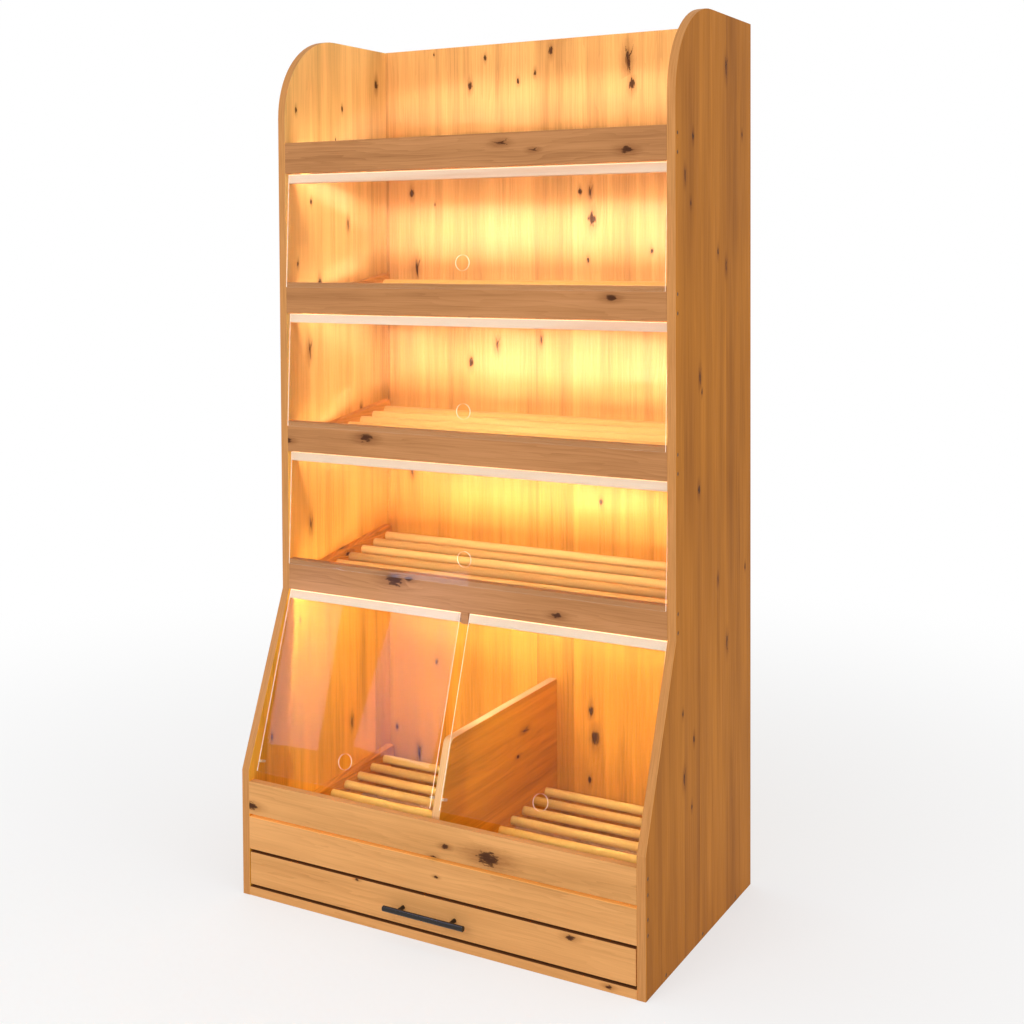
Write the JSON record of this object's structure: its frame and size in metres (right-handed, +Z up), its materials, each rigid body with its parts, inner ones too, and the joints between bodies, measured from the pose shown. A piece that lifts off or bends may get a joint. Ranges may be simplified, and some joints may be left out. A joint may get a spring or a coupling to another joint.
{
  "type": "bread display shelf",
  "caption": "Floor-standing wooden bread display shelf with an open top tray, compartments behind lift-up clear flaps, leaning bin flaps and a crumb drawer.",
  "frame": {"origin": "on the floor, under the middle of the whole outline (case plus drawer handle)", "axes": "+Z up, -Y towards the customer at the front, +X to the right seen from the front"},
  "size_m": [1, 0.63, 1.975],
  "materials": {
    "side_wood": "oiled knotty softwood, grain upright",
    "rail_wood": "oiled softwood, grain along the rail",
    "base_wood": "oiled softwood, grain along the board",
    "back_wood": "oiled softwood boards, grain upright",
    "rod_wood": "turned softwood dowel",
    "bar_wood": "oiled softwood",
    "divider_wood": "oiled knotty softwood",
    "strip_wood": "pale sanded softwood",
    "drawer_box_wood": "birch plywood",
    "clear_acrylic": "clear polished acrylic",
    "pin_steel": "plain steel",
    "screw_steel": "dark bronzed steel",
    "runner_steel": "zinc plated",
    "handle_black": "satin black",
    "stop_plastic": "pale nylon",
    "led_sleeve": "opal sleeve, lit warm white",
    "lead_white": "white cable sheath",
    "duct_white": "white cable duct",
    "driver_white": "white power supply case",
    "gland_rubber": "black rubber grommet"
  },
  "bodies": {
    "case": {"side_panel_left": "side_wood", "side_panel_right": "side_wood", "back_panel": "back_wood", "bottom_board": "base_wood", "lower_front_board": "base_wood", "bin_front_board": "base_wood", "centre_divider": "divider_wood", "hinge_block": "rail_wood", "bin_bars": "bar_wood", "bin_rods": "rod_wood", "bin_flap_stops": "stop_plastic", "cable_duct": "duct_white", "led_driver": "driver_white", "cable_gland": "gland_rubber", "led_leads": "lead_white", "runner_fixed": "runner_steel", "front_rail_1": "rail_wood", "led_strip_1": "led_sleeve", "shelf_bars_1": "bar_wood", "shelf_rods_1": "rod_wood", "front_rail_2": "rail_wood", "led_strip_2": "led_sleeve", "shelf_bars_2": "bar_wood", "shelf_rods_2": "rod_wood", "front_rail_3": "rail_wood", "led_strip_3": "led_sleeve", "shelf_bars_3": "bar_wood", "shelf_rods_3": "rod_wood", "front_rail_4": "rail_wood", "led_strip_4": "led_sleeve", "shelf_bars_4": "bar_wood", "shelf_rods_4": "rod_wood", "panel_screws": "screw_steel", "bar_screws": "screw_steel"},
    "flap_1": {"flap_strip_1": "strip_wood", "flap_panel_1": "clear_acrylic", "flap_pins_1": "pin_steel"},
    "flap_2": {"flap_strip_2": "strip_wood", "flap_panel_2": "clear_acrylic", "flap_pins_2": "pin_steel"},
    "flap_3": {"flap_strip_3": "strip_wood", "flap_panel_3": "clear_acrylic", "flap_pins_3": "pin_steel"},
    "bin_flap_left": {"bin_flap_strip_left": "strip_wood", "bin_flap_panel_left": "clear_acrylic", "bin_flap_pins_left": "pin_steel"},
    "bin_flap_right": {"bin_flap_strip_right": "strip_wood", "bin_flap_panel_right": "clear_acrylic", "bin_flap_pins_right": "pin_steel"},
    "drawer": {"drawer_front": "base_wood", "drawer_side_left": "drawer_box_wood", "drawer_side_right": "drawer_box_wood", "drawer_back": "drawer_box_wood", "drawer_bottom": "drawer_box_wood", "handle_bar": "handle_black", "handle_posts": "handle_black", "handle_screws": "pin_steel", "runner_inner": "runner_steel"},
    "runner_middles": {"runner_mid": "runner_steel"}
  },
  "joints": [
    {"name": "flap_1_hinge", "type": "hinge", "parent": "case", "child": "flap_1", "pos_m": [0, -0.112, 1.6315], "axis": [-1, 0, 0], "range_deg": [0, 105]},
    {"name": "flap_2_hinge", "type": "hinge", "parent": "case", "child": "flap_2", "pos_m": [0, -0.112, 1.306], "axis": [-1, 0, 0], "range_deg": [0, 105]},
    {"name": "flap_3_hinge", "type": "hinge", "parent": "case", "child": "flap_3", "pos_m": [0, -0.112, 0.9805], "axis": [-1, 0, 0], "range_deg": [0, 105]},
    {"name": "bin_flap_left_hinge", "type": "hinge", "parent": "case", "child": "bin_flap_left", "pos_m": [-0.245, -0.123, 0.655], "axis": [-1, 0, 0], "range_deg": [0, 105]},
    {"name": "bin_flap_right_hinge", "type": "hinge", "parent": "case", "child": "bin_flap_right", "pos_m": [0.245, -0.123, 0.655], "axis": [-1, 0, 0], "range_deg": [0, 105]},
    {"name": "drawer_slide", "type": "slide", "parent": "case", "child": "drawer", "axis": [0, -1, 0], "range_m": [0, 0.42]},
    {"name": "runner_middle_slide", "type": "slide", "parent": "case", "child": "runner_middles", "axis": [0, -1, 0], "range_m": [0, 0.21]}
  ],
  "couplings": [
    {"joint": "runner_middle_slide", "follows": "drawer_slide", "ratio": 0.5}
  ]
}
